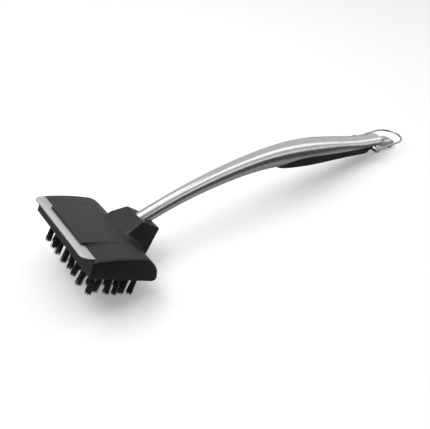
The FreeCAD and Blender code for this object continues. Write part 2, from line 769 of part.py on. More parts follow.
def strip(name, upper, lower):
    """A solid slab across the handle between two lines given as stations along it."""
    top, bottom = drop_line(upper), drop_line(lower)
    ends = [Part.makeLine(top.Vertexes[n].Point, bottom.Vertexes[n].Point) for n in (0, -1)]
    face = Part.Face(Part.Wire(Part.__sortEdges__([top, bottom] + ends)))
    half = val("palm_width")
    face.translate(Vector(0, -half, 0))
    slab = doc.addObject("Part::Feature", name)
    slab.Shape = face.extrude(Vector(0, half * 2, 0))
    return slab


def below_parting(name, finish):
    """All that lies below the parting line, from ahead of the pad's tip to finish."""
    start = grip_start() - val("pad_lead_in")
    stations = [(start, tube_size(start)[1] + val("pad_lead_in") / 3)]
    stations += [(along, drop) for along, drop, _ in parting_stations()]
    if finish > stations[-1][0] + 1e-6:
        stations.append((finish, stations[-1][1]))
    deep = val("palm_height") * 2
    return strip(name, stations, [(start, deep), (finish, deep)])


def make_pad_blank():
    """The rubber's outer form: sections centred on the parting line."""
    sections = []
    for order, (along, drop, stand_out) in enumerate(parting_stations()):
        half_width, half_height = tube_size(along)
        reach = half_width * math.sqrt(max(1 - (drop / half_height) ** 2, 0.04))
        depth = half_height + stand_out - drop
        ring = doc.addObject("Part::Ellipse", "pad_section_%d" % order)
        ring.MajorRadius = max(reach, depth)
        ring.MinorRadius = min(reach, depth)
        turn = WIDE_SECTION if reach >= depth else TALL_SECTION
        ring.Placement = frame_at(along, -drop).multiply(FreeCAD.Placement(Vector(), turn))
        sections.append(ring)
    loft = doc.addObject("Part::Loft", "pad_blank")
    loft.Sections = sections
    loft.Solid = True
    return loft


def make_handle():
    """The steel tube with its grip opening, the carrier inside it and the rubber pad."""
    length = val("handle_length")
    rubber_end = length - val("grip_end")
    shell = boolean("Cut", "tube_shell", tube_loft("tube_outside", 0.0, 0.0),
                    tube_loft("tube_bore", D["tube_wall"], 1.0))
    tube = boolean("Cut", "handle_tube", shell, below_parting("grip_opening", length + 8.0))

    pin_along = length - val("pin_set_back")
    core = tube_loft("core_blank", D["tube_wall"] + D["core_gap"], 0.0)
    core_end = length - val("stub_length") - val("core_to_stub")
    line = [(along, drop) for along, drop, _ in parting_stations()[2:]]
    line.append((core_end, line[-1][1]))
    band = strip("core_band", [(a, d - val("core_rise")) for a, d in line],
                 [(a, d + val("core_sink")) for a, d in line])
    trimmed = boolean("Common", "core_trimmed", core, band)
    pin_frame = frame_at(pin_along)
    bore_width, bore_height = (size - val("tube_wall") for size in tube_size(pin_along))
    boss_half = bore_width * math.sqrt(1 - (val("pin_boss_radius") / bore_height) ** 2) - val("boss_gap")
    boss = cylinder("pin_boss", D["pin_boss_radius"], boss_half * 2)
    boss.Placement = pin_frame.multiply(
        FreeCAD.Placement(Vector(0, boss_half, 0), FreeCAD.Rotation(Vector(0, 0, 1), -ACROSS)))
    pin_way = cylinder("pin_way", D["pin_radius"] + D["pin_fit"], boss_half * 4)
    pin_way.Placement = pin_frame.multiply(
        FreeCAD.Placement(Vector(0, boss_half * 2, 0), FreeCAD.Rotation(Vector(0, 0, 1), -ACROSS)))
    core_and_boss = joined("core_and_boss", [trimmed, boss])
    drilled = boolean("Cut", "core_drilled", core_and_boss, pin_way)
    screw_way = cylinder("cap_screw_pilot", D["cap_screw_radius"], val("pin_set_back") * 2)
    screw_way.Placement = frame_at(length, val("cap_screw_height")).multiply(
        FreeCAD.Placement(Vector(), FreeCAD.Rotation(Vector(0, 0, 1), Vector(-1, 0, 0))))
    screw_way.Height = val("stub_length") + val("core_to_stub") + val("cap_screw_bite")
    carrier = boolean("Cut", "grip_carrier", drilled, screw_way)

    rubber = boolean("Common", "pad_below_steel", make_pad_blank(),
                     below_parting("pad_side", rubber_end))
    clear_of_boss = cylinder("boss_clearance", D["pin_boss_radius"] + D["core_gap"], boss_half * 4)
    clear_of_boss.Placement = pin_way.Placement
    pad_body = boolean("Cut", "grip_pad", boolean("Cut", "pad_over_core", rubber, core_and_boss), clear_of_boss)
    return [tube, carrier, pad_body]


# ---------------------------------------------------------------- neck joint

def make_neck_joint():
    """A threaded plug in the tube's lower end, and the screw that draws it into the neck."""
    plug_radius = D[min("neck_width", "neck_height", key=val)] / 2 - D["tube_wall"] - D["plug_gap"]
    start = -D["socket_depth"]
    blank = cylinder("plug_blank", plug_radius, D["plug_length"], (start, 0, 0), Vector(1, 0, 0))
    thread = cylinder("plug_thread", D["handle_screw_radius"] + D["pin_fit"], D["plug_length"] * 2,
                      (start - D["plug_length"] / 2, 0, 0), Vector(1, 0, 0))
    plug = boolean("Cut", "tube_plug", blank, thread)
    length = D["handle_screw_grip"] + D["handle_screw_bite"]
    bolt = screw("handle_screw", D["handle_screw_radius"], length,
                 (start - D["handle_screw_grip"], 0, 0), Vector(1, 0, 0))
    return [plug, bolt]


# ---------------------------------------------------------------- tail

def tail_disc(name, inset, length, base):
    """A slice of the tube's end section, inset from its outside."""
    ring = doc.addObject("Part::Ellipse", name + "_edge")
    bind(ring, "MajorRadius", D["tail_width"] / 2 - inset)
    bind(ring, "MinorRadius", D["tail_height"] / 2 - inset)
    ring.Placement = FreeCAD.Placement(Vector(base, 0, 0), WIDE_SECTION)
    disc = doc.addObject("Part::Extrusion", name)
    disc.Base = ring
    disc.DirMode = "Custom"
    disc.Dir = Vector(1, 0, 0)
    bind(disc, "LengthFwd", length)
    disc.Solid = True
    return disc


def make_end_cap():
    """The cast cap: a stub in the tube, a flange on its end and a rounded nose beyond."""
    body = new_body("cap_nose")
    slope, reach = D["nose_slope"], D["nose_length"]
    side = outline(sketch_on(body, "nose_side", "XZ_Plane"), [
        (0, -D["nose_root_drop"]), (reach - D["nose_tip_radius"], -D["nose_tip_drop"], D["nose_tip_radius"]),
        (reach, -D["nose_top"], D["nose_tip_radius"] * 2), (reach - D["nose_slope"], D["nose_top"]),
        (slope, D["nose_top"]), (0, D["tail_height"] / 2 - D["nose_edge"])])
    pad(body, side, D["nose_width"])
    side_face = val("nose_width") / 2

    def is_long_edge(edge):
        middle = edge.valueAt(sum(edge.ParameterRange) / 2)
        return abs(abs(middle.y) - side_face) < 1e-4 and middle.x > val("flange_thickness")

    round_edges(body, "nose_rounding", D["nose_round"], is_long_edge)

    parting = -parting_stations()[-1][1]
    fit_inset = D["tube_wall"] + D["core_gap"]
    blank = joined("cap_discs", [
        tail_disc("cap_flange", 0.0, D["flange_thickness"], 0.0),
        tail_disc("cap_stub", fit_inset, D["stub_length"] + 0.5, -val("stub_length"))])
    lower = primitive("Box", "cap_lower_half", {
        "Length": D["stub_length"] * 4, "Width": D["tail_width"] * 2, "Height": D["tail_height"]},
        (-D["stub_length"] * 2, -D["tail_width"], -D["tail_height"] + parting))
    upper = boolean("Cut", "cap_upper_discs", blank, lower)
    whole = joined("cap_blank", [upper, body])
    height = D["cap_screw_height"]
    out = Vector(1, 0, 0)
    way = cylinder("cap_screw_way", D["cap_screw_radius"] + D["screw_way"], D["nose_length"],
                   (-D["nose_length"] / 2, 0, height), out)
    seat = cylinder("cap_screw_seat", D["cap_screw_radius"] * SEAT_WIDE, D["nose_length"],
                    (D["cap_screw_seat"], 0, height), out)
    cap = boolean("Cut", "end_cap", whole, joined("cap_screw_room", [way, seat]))
    length = D["cap_screw_seat"] + D["stub_length"] + D["core_to_stub"] + D["cap_screw_bite"]
    bolt = screw("cap_screw", D["cap_screw_radius"], length, (D["cap_screw_seat"], 0, height), -out)
    return [cap, bolt]


# ---------------------------------------------------------------- pin, bushes and ring

EYE_LOW = D["ring_half_width"] - D["wire_radius"]
EYE_HIGH = D["ring_half_width"] + D["wire_radius"]


def make_pin():
    """The cross pin with its two upset heads."""
    half = EYE_HIGH + D["side_play"] + D["pin_head_thickness"]
    shank = cylinder("pin_shank", D["pin_radius"], half * 2, (0, -half, 0), ACROSS)
    heads = [cylinder("pin_head_" + side, D["pin_head_radius"], D["pin_head_thickness"], (0, low, 0), ACROSS)
             for side, low in (("near", -half), ("far", half - D["pin_head_thickness"]))]
    return joined("ring_pin", [shank] + heads)


def make_bushes(tube_half):
    """The two spacers on the pin, between the handle and the ring's eyes."""
    low = tube_half + D["side_play"].value
    length = EYE_LOW - D["side_play"] - low
    spacers = []
    for side, start in (("near", -(EYE_LOW - D["side_play"])), ("far", Dim(low, repr(low)))):
        outer = cylinder("bush_%s_outer" % side, D["pin_head_radius"], length, (0, start, 0), ACROSS)
        inner = cylinder("bush_%s_way" % side, D["pin_radius"] + D["pin_fit"], length * 3,
                         (0, start - length, 0), ACROSS)
        spacers.append(boolean("Cut", "bush_" + side, outer, inner))
    return group("pin_bushes", spacers)


def make_ring():
    """The bent wire ring: two straight legs, a half-round bow and an eye at each end."""
    body = new_body("hanging_ring")
    eye = D["pin_radius"] + D["ring_play"] + D["wire_radius"]
    half = D["ring_half_width"]
    bow = D["ring_length"] - half
    path = sketch_on(body, "ring_path", "XY_Plane")
    near, far = (Vector(number(eye), number(y), 0) for y in (-half, half))
    to_bow = Vector(number(bow - eye), 0, 0)
    circle = Part.Circle(Vector(number(bow), 0, 0), Vector(0, 0, 1), number(half))
    path.addGeometry(Part.LineSegment(near, near + to_bow))
    path.addGeometry(Part.ArcOfCircle(circle, -math.pi / 2, math.pi / 2))
    path.addGeometry(Part.LineSegment(far + to_bow, far))
    for first, after in ((0, 1), (1, 2)):
        path.addConstraint(Sketcher.Constraint("Coincident", first, 2, after, 1))
    pin_point(path, 0, 1, eye, -half)
    pin_point(path, 0, 2, bow, -half)
    pin_point(path, 1, 3, bow, 0)
    pin_point(path, 2, 2, eye, half)
    fix(path, "DistanceX", (-1, 1), (2, 1), bow)
    wire = circles(sketch_on(body, "wire_section", "YZ_Plane", (0, 0, eye)), [(-half, 0)], D["wire_radius"])
    sweep = body.newObject("PartDesign::AdditivePipe", "ring_wire")
    sweep.Profile = wire
    sweep.Spine = (path, [])
    doc.recompute()
    eyes = circles(sketch_on(body, "eye_sections", "XY_Plane"), [(eye, -half), (eye, half)],
                   D["wire_radius"])
    turn = body.newObject("PartDesign::Revolution", "ring_eyes")
    turn.Profile = eyes
    turn.ReferenceAxis = (eyes, ["V_Axis"])
    turn.Angle = 360
    doc.recompute()
    return body


# ---------------------------------------------------------------- assembly

def lowest(points):
    return min(points, key=lambda p: p.z)


def skin(obj, frame):
    """Points on a piece's surface, where the frame puts it."""
    shape = obj.Shape.copy()
    shape.Placement = frame.multiply(shape.Placement)
    return shape.tessellate(0.2)[0]


def set_down(head, handle):
    """The turn and lift that lay the head and the handle's tail on the floor together."""
    turn = FreeCAD.Rotation()
    for _ in range(6):
        front = lowest([turn.multVec(p) for p in head])
        back = lowest([turn.multVec(p) for p in handle])
        slope = math.degrees(math.atan2(back.z - front.z, back.x - front.x))
        turn = FreeCAD.Rotation(ACROSS, slope).multiply(turn)
    return turn


def build():
    head_turn = FreeCAD.Rotation(ACROSS, val("head_angle") - val("neck_rise"))
    exit_point = Vector(val("neck_exit_x"), 0, val("neck_exit_z"))
    head_frame = FreeCAD.Placement(-head_turn.multVec(exit_point), head_turn)
    handle_frame = FreeCAD.Placement()
    neck_frame = frame_at(0.0)
    tail_frame = frame_at(val("handle_length"))
    pin_along = val("handle_length") - val("pin_set_back")
    pin_frame = frame_at(pin_along)
    ring_frame = FreeCAD.Placement(pin_frame.Base, FreeCAD.Rotation(ACROSS, val("ring_droop")))

    head = [make_head_shell(), make_bristle_block(), make_scraper_blade()]
    head += make_tufts() + make_head_screws()
    frames = [(piece, head_frame) for piece in head]
    frames += [(piece, handle_frame) for piece in make_handle()]
    frames += [(piece, neck_frame) for piece in make_neck_joint()]
    frames += [(piece, tail_frame) for piece in make_end_cap()]
    frames += [(piece, pin_frame) for piece in (make_pin(), make_bushes(tube_size(pin_along)[0]))]
    frames.append((make_ring(), ring_frame))
    doc.recompute()
    check_document()

    skins = {piece.Name: skin(piece, frame) for piece, frame in frames}
    head_points = [p for piece in head for p in skins[piece.Name]]
    other_points = [p for piece, _ in frames if piece not in head and piece.Name != "hanging_ring"
                    for p in skins[piece.Name]]
    turn = set_down(head_points, other_points)
    placed = [turn.multVec(p) for points in skins.values() for p in points]
    lift = Vector(-(min(p.x for p in placed) + max(p.x for p in placed)) / 2,
                  -(min(p.y for p in placed) + max(p.y for p in placed)) / 2,
                  -min(p.z for p in placed))
    rest = FreeCAD.Placement(lift, turn)
    for piece, frame in frames:
        piece.Placement = rest.multiply(frame)
    doc.recompute()
    check_document()
    return [piece for piece, _ in frames], rest, pin_frame


def check_document():
    for obj in doc.Objects:
        assert not {"Invalid", "Error"} & set(obj.State), obj.Name + " failed"


def write(pieces):
    os.makedirs("parts", exist_ok=True)
    for piece in pieces:
        shape = piece.Shape
        assert not shape.isNull() and shape.isValid(), piece.Label + " is not a sound solid"
        shape.exportStep(os.path.join("parts", piece.Label + ".step"))


pieces, rest, pin_frame = build()
write(pieces)
pin_place = rest.multVec(pin_frame.Base)
print("pieces", len(pieces), "solids", sum(len(p.Shape.Solids) for p in pieces))
print("rest turn %.3f degrees" % math.degrees(rest.Rotation.Angle), rest.Rotation.Axis, rest.Base)
print("ring pin at %.3f %.3f %.3f" % tuple(pin_place))
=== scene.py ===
"""A grill cleaning brush: soft-edged mouldings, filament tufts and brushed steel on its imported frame."""
import json
import logging
import math
import random
from dataclasses import dataclass, field
from enum import Enum
from typing import Callable

import bpy
from mathutils import Matrix, Vector

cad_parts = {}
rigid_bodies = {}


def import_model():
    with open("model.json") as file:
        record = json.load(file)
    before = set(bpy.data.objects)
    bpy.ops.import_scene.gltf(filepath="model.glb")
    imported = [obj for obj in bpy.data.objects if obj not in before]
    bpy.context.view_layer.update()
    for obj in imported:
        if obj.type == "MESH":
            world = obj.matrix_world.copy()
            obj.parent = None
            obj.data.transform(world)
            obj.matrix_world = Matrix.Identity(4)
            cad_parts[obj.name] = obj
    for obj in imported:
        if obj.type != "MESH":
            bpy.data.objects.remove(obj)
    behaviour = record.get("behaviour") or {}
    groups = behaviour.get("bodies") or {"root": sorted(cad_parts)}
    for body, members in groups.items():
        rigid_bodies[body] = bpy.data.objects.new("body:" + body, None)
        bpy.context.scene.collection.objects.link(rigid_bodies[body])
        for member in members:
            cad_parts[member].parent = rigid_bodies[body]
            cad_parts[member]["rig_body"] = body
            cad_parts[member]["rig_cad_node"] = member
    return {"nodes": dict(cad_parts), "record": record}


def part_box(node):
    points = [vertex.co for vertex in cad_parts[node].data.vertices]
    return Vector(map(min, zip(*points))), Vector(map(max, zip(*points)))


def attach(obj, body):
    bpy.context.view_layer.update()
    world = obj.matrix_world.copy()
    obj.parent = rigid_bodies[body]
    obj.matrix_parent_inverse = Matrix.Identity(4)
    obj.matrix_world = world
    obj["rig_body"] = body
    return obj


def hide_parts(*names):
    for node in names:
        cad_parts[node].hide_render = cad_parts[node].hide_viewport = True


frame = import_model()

LOG = logging.getLogger("grill_brush")
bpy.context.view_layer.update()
MM = 0.001
BODY = "brush"

# A noise texture's values lie mostly between these.
NOISE_LOW = 0.3
NOISE_HIGH = 0.7


# ---------------------------------------------------------------- shared node groups

class Effect(Enum):
    """The surface effects that several finishes share."""

    GRAIN = "fine_grain"
    BRUSH = "brushed_lines"
    SMUDGE = "handling_smudges"


# Octaves of each effect's noise, and the strength of the finer ones.
NOISES = {Effect.GRAIN: (2.0, 0.5), Effect.BRUSH: (3.0, 0.65), Effect.SMUDGE: (4.0, 0.6)}
PIT_SMOOTHNESS = 0.6


class NodeBuilder:
    """Adds nodes to one tree and links them."""

    def __init__(self, tree: bpy.types.NodeTree) -> None:
        """Takes the tree to work on."""
        self.tree = tree

    def add(self, kind: str, **settings: object) -> bpy.types.Node:
        """Adds a node.

        Args:
            kind: The node's type name.
            settings: Properties to set on it.

        Returns:
            The new node.
        """
        node = self.tree.nodes.new(kind)
        for name, value in settings.items():
            setattr(node, name, value)
        return node

    def link(self, source: bpy.types.NodeSocket, target: bpy.types.NodeSocket) -> None:
        """Joins an output to an input."""
        self.tree.links.new(source, target)

    def noise(self, vector: bpy.types.NodeSocket, detail: float, roughness: float) -> bpy.types.Node:
        """Adds a noise texture of scale one on the vector.

        Args:
            vector: The coordinates, already scaled.
            detail: Octaves.
            roughness: Strength of the finer octaves.

        Returns:
            The noise node.
        """
        node = self.add("ShaderNodeTexNoise")
        node.inputs["Scale"].default_value = 1.0
        node.inputs["Detail"].default_value = detail
        node.inputs["Roughness"].default_value = roughness
        self.link(vector, node.inputs["Vector"])
        return node

    def span(self, value: bpy.types.NodeSocket, low: bpy.types.NodeSocket,
             high: bpy.types.NodeSocket) -> bpy.types.NodeSocket:
        """Maps a noise texture's value onto the range from low to high.

        Args:
            value: The input value.
            low: What NOISE_LOW becomes.
            high: What NOISE_HIGH becomes.

        Returns:
            The mapped value.
        """
        node = self.add("ShaderNodeMapRange")
        node.inputs["From Min"].default_value = NOISE_LOW
        node.inputs["From Max"].default_value = NOISE_HIGH
        self.link(value, node.inputs["Value"])
        self.link(low, node.inputs["To Min"])
        self.link(high, node.inputs["To Max"])
        return node.outputs["Result"]


def new_group(name: str, inputs: dict[str, tuple[str, object]]) -> tuple[bpy.types.NodeTree, NodeBuilder,
                                                                        bpy.types.Node, bpy.types.Node]:
    """Starts a node group that puts out a value and a height.

    Args:
        name: The group's name.
        inputs: Socket type and default value by socket name.

    Returns:
        The group, its builder, and its input and output nodes.
    """
    tree = bpy.data.node_groups.new(name, "ShaderNodeTree")
    for label, (kind, value) in inputs.items():
        socket = tree.interface.new_socket(label, in_out="INPUT", socket_type=kind)
        socket.default_value = value
    for label in ("Value", "Height"):
        tree.interface.new_socket(label, in_out="OUTPUT", socket_type="NodeSocketFloat")
    build = NodeBuilder(tree)
    return tree, build, build.add("NodeGroupInput"), build.add("NodeGroupOutput")


def effect_group(effect: Effect) -> bpy.types.NodeTree:
    """Builds, once, the group for an effect.

    Args:
        effect: Which effect.

    Returns:
        The node group. Its inputs are Scale, Low and High, Value runs from Low to High and
        Height is for a bump.
    """
    found = bpy.data.node_groups.get(effect.value)
    if found:
        return found
    tree, build, source, sink = new_group(effect.value, {
        "Scale": ("NodeSocketVector", (1.0, 1.0, 1.0)),
        "Low": ("NodeSocketFloat", 0.0),
        "High": ("NodeSocketFloat", 1.0)})
    place = build.add("ShaderNodeTexCoord")
    scaled = build.add("ShaderNodeVectorMath", operation="MULTIPLY")
    build.link(place.outputs["Object"], scaled.inputs[0])
    build.link(source.outputs["Scale"], scaled.inputs[1])
    value = build.noise(scaled.outputs["Vector"], *NOISES[effect]).outputs["Fac"]
    height = value
    if effect is Effect.GRAIN:
        pits = build.add("ShaderNodeTexVoronoi", feature="SMOOTH_F1")
        pits.inputs["Scale"].default_value = 1.0
        pits.inputs["Smoothness"].default_value = PIT_SMOOTHNESS
        build.link(scaled.outputs["Vector"], pits.inputs["Vector"])
        height = pits.outputs["Distance"]
    build.link(build.span(value, source.outputs["Low"], source.outputs["High"]), sink.inputs["Value"])
    build.link(height, sink.inputs["Height"])
    return tree


# ---------------------------------------------------------------- finishes

@dataclass(frozen=True)
class Finish:
    """A surface finish: colour range, gloss and fine relief.

    The colour runs from dark to light in patches, patch_scale to the metre. The roughness runs
    over gloss, partly with the relief's effect and partly with larger smudges.
    """

    name: str
    dark: tuple[float, float, float]
    light: tuple[float, float, float]
    metallic: float
    gloss: tuple[float, float]
    effect: Effect
    relief_scale: tuple[float, float, float]
    relief: float
    relief_depth: float
    patch_scale: float
    smudge_share: float = 0.35
    smudge_size: float = 0.6

    def _group(self, build: NodeBuilder, effect: Effect, scale: tuple[float, float, float],
               low: float, high: float) -> bpy.types.Node:
        """Places an effect group with this finish's values.

        Args:
            build: The material's builder.
            effect: Which effect.
            scale: Repeats per metre along x, y and z.
            low: Lowest value out.
            high: Highest value out.

        Returns:
            The group node.
        """
        node = build.add("ShaderNodeGroup", node_tree=effect_group(effect))
        node.inputs["Scale"].default_value = scale
        node.inputs["Low"].default_value = low
        node.inputs["High"].default_value = high
        return node

    def material(self) -> bpy.types.Material:
        """Builds, once, the material of this finish.

        Returns:
            The material.
        """
        found = bpy.data.materials.get("finish_" + self.name)
        if found:
            return found
        made = bpy.data.materials.new("finish_" + self.name)
        made.use_nodes = True
        build = NodeBuilder(made.node_tree)
        shader = made.node_tree.nodes["Principled BSDF"]
        shader.inputs["Metallic"].default_value = self.metallic

        patches = self._group(build, Effect.SMUDGE, (self.patch_scale,) * 3, 0.0, 1.0)
        colours = build.add("ShaderNodeMix", data_type="RGBA")
        colours.inputs["A"].default_value = (*self.dark, 1.0)
        colours.inputs["B"].default_value = (*self.light, 1.0)
        build.link(patches.outputs["Value"], colours.inputs["Factor"])
        build.link(colours.outputs["Result"], shader.inputs["Base Color"])

        relief = self._group(build, self.effect, self.relief_scale, *self.gloss)
        mixed = build.add("ShaderNodeMix", data_type="FLOAT")
        mixed.inputs["Factor"].default_value = self.smudge_share
        smudge = self._group(build, Effect.SMUDGE, (self.patch_scale * self.smudge_size,) * 3, *self.gloss)
        build.link(relief.outputs["Value"], mixed.inputs["A"])
        build.link(smudge.outputs["Value"], mixed.inputs["B"])
        build.link(mixed.outputs["Result"], shader.inputs["Roughness"])

        bump = build.add("ShaderNodeBump")
        bump.inputs["Strength"].default_value = self.relief
        bump.inputs["Distance"].default_value = self.relief_depth
        build.link(relief.outputs["Height"], bump.inputs["Height"])
        build.link(bump.outputs["Normal"], shader.inputs["Normal"])
        return made


# How moulded plastics and steels differ from an even grey: factors on red, green and blue.
COOL_DARK = (1.0, 1.0, 1.04)
COOL_LIGHT = (1.0, 1.0, 1.05)
STEEL_DARK = (1.0, 1.0, 1.01)
STEEL_LIGHT = (1.0, 0.995, 0.985)


def tinted(grey: float, tint: tuple[float, float, float]) -> tuple[float, float, float]:
    """Tints a grey."""
    return tuple(grey * factor for factor in tint)


def plastic(name: str, dark: float, light: float, gloss: tuple[float, float], grain: float) -> Finish:
    """Describes a moulded plastic, a touch bluer than grey.

    Args:
        name: Its name.
        dark: Darkest grey.
        light: Lightest grey.
        gloss: Roughness range.
        grain: Grain pits per metre.

    Returns:
        The finish.
    """
    return Finish(name, tinted(dark, COOL_DARK), tinted(light, COOL_LIGHT), metallic=0.0, gloss=gloss,
                  effect=Effect.GRAIN, relief_scale=(grain,) * 3, relief=0.35, relief_depth=0.08 * MM,
                  patch_scale=60.0)


def steel(name: str, dark: float, light: float, gloss: tuple[float, float],
          lines: tuple[float, float, float], relief: float = 0.12) -> Finish:
    """Describes a brushed or drawn steel, a touch warmer where it is lighter.

    Args:
        name: Its name.
        dark: Darkest grey.
        light: Lightest grey.
        gloss: Roughness range.
        lines: Repeats of the brushing per metre along x, y and z.
        relief: Strength of the brushing's relief.

    Returns:
        The finish.
    """
    return Finish(name, tinted(dark, STEEL_DARK), tinted(light, STEEL_LIGHT), metallic=1.0, gloss=gloss,
                  effect=Effect.BRUSH, relief_scale=lines, relief=relief, relief_depth=0.04 * MM,
                  patch_scale=45.0)


HEAD_PLASTIC = plastic("head_plastic", 0.006, 0.01, (0.36, 0.44), 2600.0)
BLOCK_PLASTIC = plastic("block_plastic", 0.012, 0.018, (0.5, 0.62), 1800.0)
CARRIER_PLASTIC = plastic("carrier_plastic", 0.014, 0.02, (0.45, 0.6), 1500.0)
GRIP_RUBBER = plastic("grip_rubber", 0.006, 0.010, (0.62, 0.78), 3200.0)
BRISTLE = Finish("bristle", (0.006, 0.005, 0.0045), (0.085, 0.068, 0.055), metallic=0.0,
                 gloss=(0.4, 0.6), effect=Effect.BRUSH, relief_scale=(900.0, 900.0, 120.0),
                 relief=0.2, relief_depth=0.03 * MM, patch_scale=420.0)
BLADE_STEEL = steel("blade_steel", 0.68, 0.74, (0.44, 0.52), (2600.0, 22.0, 2600.0))
TUBE_STEEL = steel("tube_steel", 0.62, 0.68, (0.22, 0.26), (18.0, 2200.0, 2200.0), 0.07)
CAP_STEEL = steel("cap_steel", 0.64, 0.7, (0.18, 0.24), (160.0, 420.0, 420.0), 0.05)
WIRE = steel("ring_wire", 0.46, 0.54, (0.2, 0.28), (60.0, 1500.0, 1500.0), 0.05)
TURNED = steel("turned_steel", 0.5, 0.6, (0.25, 0.38), (2400.0, 90.0, 2400.0))
ZINC = steel("zinc_plate", 0.48, 0.62, (0.3, 0.45), (700.0, 700.0, 700.0), 0.08)


# ---------------------------------------------------------------- mesh work

MERGE = 0.005 * MM
FLAT = math.radians(0.6)
SMOOTH_UNDER = math.radians(32)


def select_only(obj: bpy.types.Object) -> None:
    """Makes one object the only selected and the active one.

    Args:
        obj: The object.
    """
    bpy.ops.object.select_all(action="DESELECT")
    obj.select_set(True)
    bpy.context.view_layer.objects.active = obj


def apply_modifiers(obj: bpy.types.Object) -> None:
    """Applies every modifier of an object, in order.

    Args:
        obj: The object.
    """
    select_only(obj)
    for modifier in list(obj.modifiers):
        bpy.ops.object.modifier_apply(modifier=modifier.name)


def take_copy(node: str, name: str) -> bpy.types.Object:
    """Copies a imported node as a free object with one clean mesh.

    Args:
        node: The node's name.
        name: The copy's name.

    Returns:
        The copy, merged and with flat areas dissolved.
    """
    select_only(frame["nodes"][node])
    bpy.ops.object.duplicate()
    copy = bpy.context.active_object
    copy.parent = None
    copy.name = name
    copy.data.name = name
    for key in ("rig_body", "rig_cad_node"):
        if key in copy:
            del copy[key]
    bpy.ops.mesh.customdata_custom_splitnormals_clear()
    bpy.ops.object.mode_set(mode="EDIT")
    bpy.ops.mesh.select_all(action="SELECT")
    bpy.ops.mesh.remove_doubles(threshold=MERGE)
    bpy.ops.mesh.dissolve_limited(angle_limit=FLAT)
    bpy.ops.object.mode_set(mode="OBJECT")
    return copy


def soften(obj: bpy.types.Object, width: float, corner: float) -> None:
    """Rounds an object's sharp edges and shades it smooth.

    Args:
        obj: The object.
        width: Width of the rounding, in metres.
        corner: Edges sharper than this many degrees are rounded.
    """
    bevel = obj.modifiers.new("soft_edges", "BEVEL")
    bevel.width = width
    bevel.segments = 3
    bevel.limit_method = "ANGLE"
    bevel.angle_limit = math.radians(corner)
    apply_modifiers(obj)
    bpy.ops.object.shade_smooth_by_angle(angle=SMOOTH_UNDER)


def join(pieces: list[bpy.types.Object]) -> bpy.types.Object:
    """Joins objects into the first of them.

    Args:
        pieces: The objects.

    Returns:
        The joined object.
    """
    select_only(pieces[0])
    for piece in pieces:
        piece.select_set(True)
    bpy.ops.object.join()
    return bpy.context.active_object


def own_copy(obj: bpy.types.Object) -> bpy.types.Object:
    """Copies an object with its own mesh into the scene.

    Args:
        obj: The object.

    Returns:
        The copy.
    """
    copy = obj.copy()
    copy.data = obj.data.copy()
    bpy.context.scene.collection.objects.link(copy)
    return copy


def dress(obj: bpy.types.Object, finish: Finish) -> None:
    """Puts one finish on the whole of an object.

    Args:
        obj: The object.
        finish: Its finish.
    """
    material = finish.material()
    if obj.material_slots:
        for slot in obj.material_slots:
            slot.material = material
    else:
        obj.data.materials.append(material)


def dress_nodes(finishes: dict[str, Finish]) -> list[str]:
    """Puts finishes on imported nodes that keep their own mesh.

    Args:
        finishes: The finish of each node, by the node's name.

    Returns:
        The nodes' names.
    """
    for node, finish in finishes.items():
        dress(frame["nodes"][node], finish)
    return list(finishes)


def take_place(obj: bpy.types.Object, node: str) -> str:
    """Lets a piece of the brush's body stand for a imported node.

    Args:
        obj: The piece.
        node: The node it hides.

    Returns:
        The piece's name.
    """
    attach(obj, BODY)
    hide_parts(node)
    return obj.name


# ---------------------------------------------------------------- head

def tuft_direction() -> Vector:
    """Reads which way the tufts point from the scrubbing face's mount."""
    mount = next(m for m in frame["record"]["mounts"] if m["name"] == "scrub_face")
    return Vector(mount["axis"]).normalized()


